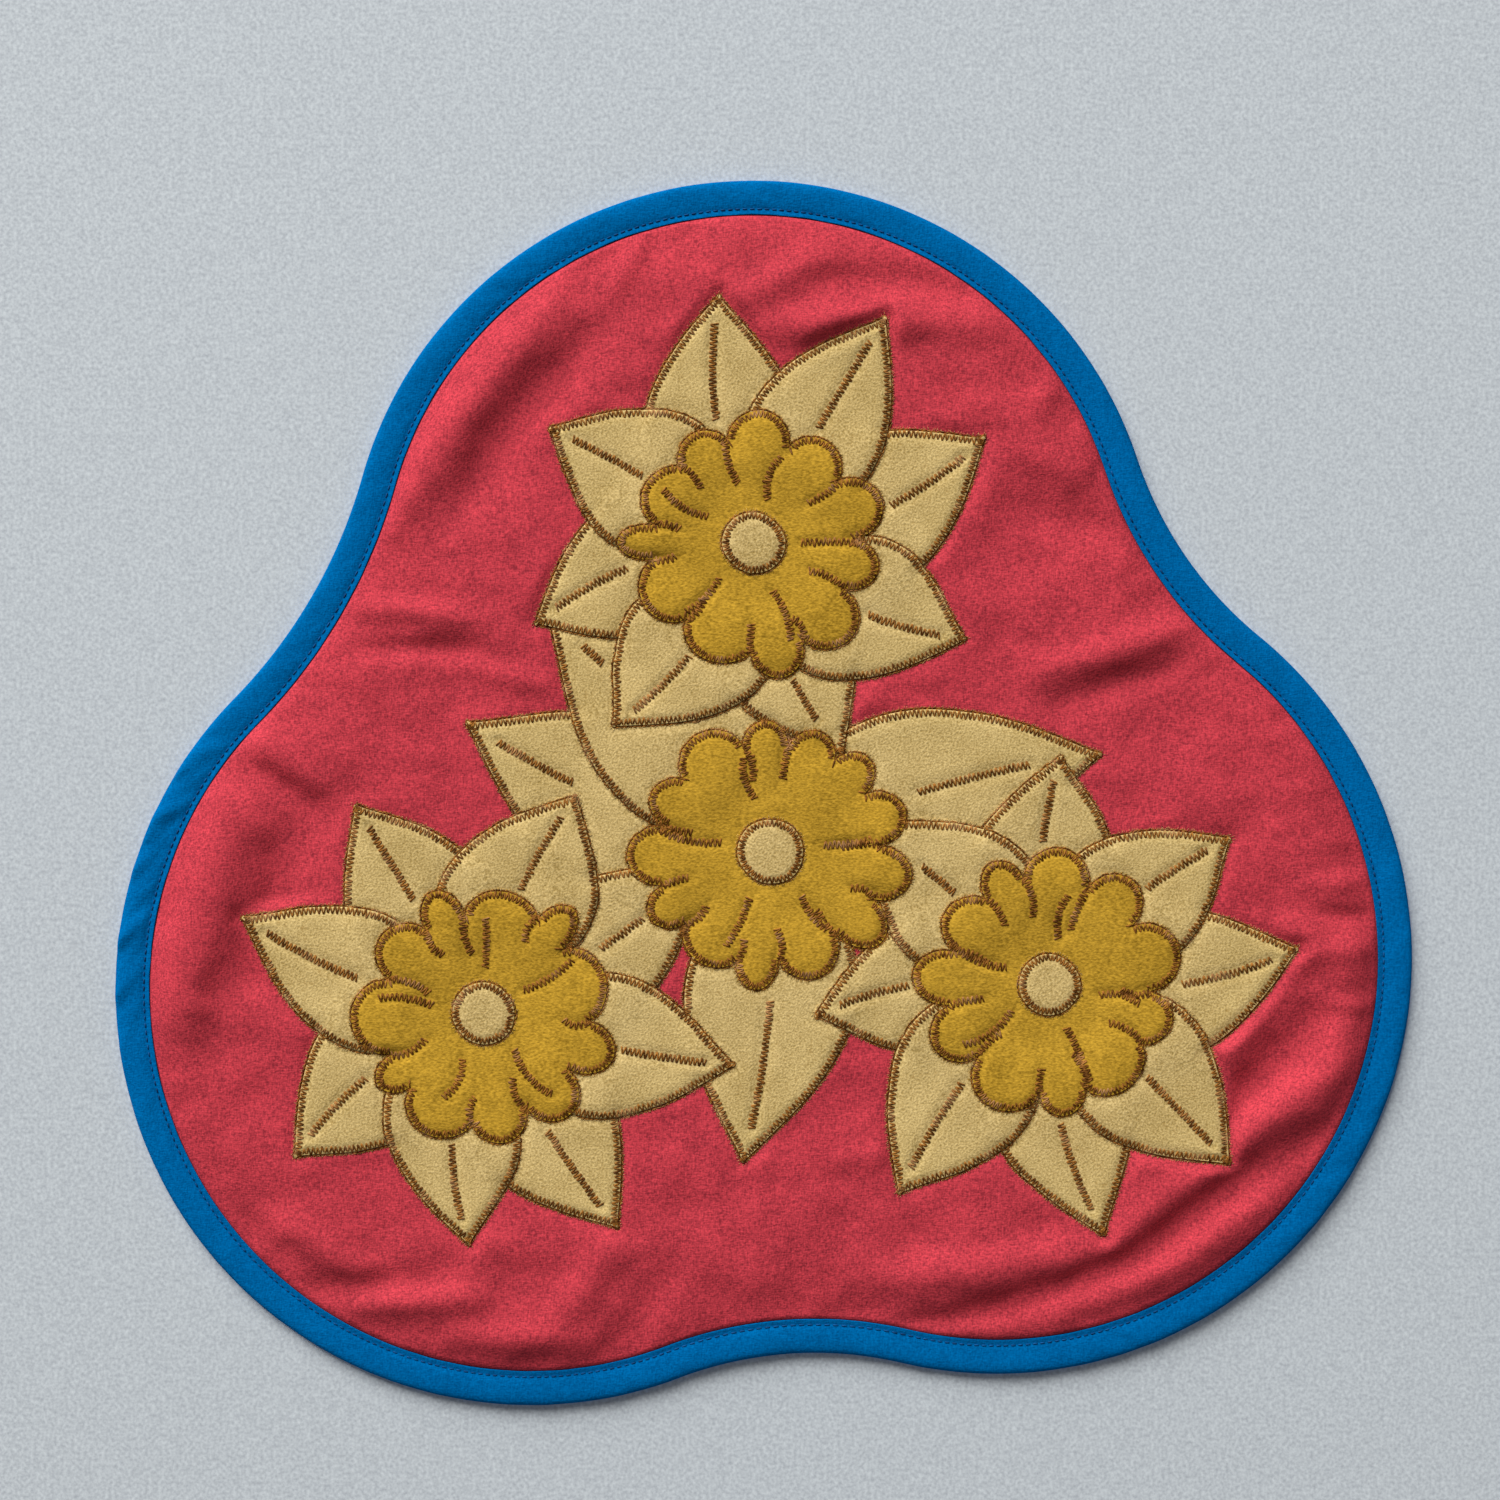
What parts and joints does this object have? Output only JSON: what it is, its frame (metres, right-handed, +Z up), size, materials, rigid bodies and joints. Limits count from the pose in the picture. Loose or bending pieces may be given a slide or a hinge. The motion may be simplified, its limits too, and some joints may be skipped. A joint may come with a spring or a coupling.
{
  "type": "wall quilt",
  "caption": "Small three-lobed wall quilt: a padded cotton panel with a bound edge and blossoms applied in felted cloth, hung flat.",
  "frame": {"origin": "the topmost point of the quilt's top edge, on the plane of the wall behind it", "axes": "+X along the width to the viewer's right, +Y from the front into the wall, +Z up"},
  "size_m": [0.4599, 0.0091, 0.4343],
  "materials": {
    "red_cotton": "fine woven cotton with a soft sheen, quilted, puckered",
    "blue_binding": "plain woven cotton bias binding, padded, with a running stitch",
    "cream_felt": "brushed felted cloth with a short nap and raw zigzagged edges",
    "gold_felt": "brushed felted cloth with a short nap and raw zigzagged edges",
    "brown_thread": "thick variegated sewing thread in zigzag and satin stitch"
  },
  "bodies": {
    "root": {"ground": "red_cotton", "binding": "blue_binding", "middle_petal_1": "cream_felt", "middle_petal_4": "cream_felt", "middle_petal_5": "cream_felt", "middle_petal_8": "cream_felt", "middle_head": "gold_felt", "middle_eye": "cream_felt", "upper_petal_1": "cream_felt", "upper_petal_2": "cream_felt", "upper_petal_3": "cream_felt", "upper_petal_4": "cream_felt", "upper_petal_5": "cream_felt", "upper_petal_6": "cream_felt", "upper_petal_7": "cream_felt", "upper_petal_8": "cream_felt", "upper_head": "gold_felt", "upper_eye": "cream_felt", "left_petal_1": "cream_felt", "left_petal_2": "cream_felt", "left_petal_3": "cream_felt", "left_petal_4": "cream_felt", "left_petal_5": "cream_felt", "left_petal_6": "cream_felt", "left_petal_7": "cream_felt", "left_petal_8": "cream_felt", "left_head": "gold_felt", "left_eye": "cream_felt", "right_petal_1": "cream_felt", "right_petal_2": "cream_felt", "right_petal_3": "cream_felt", "right_petal_4": "cream_felt", "right_petal_5": "cream_felt", "right_petal_6": "cream_felt", "right_petal_7": "cream_felt", "right_petal_8": "cream_felt", "right_head": "gold_felt", "right_eye": "cream_felt"}
  },
  "joints": []
}
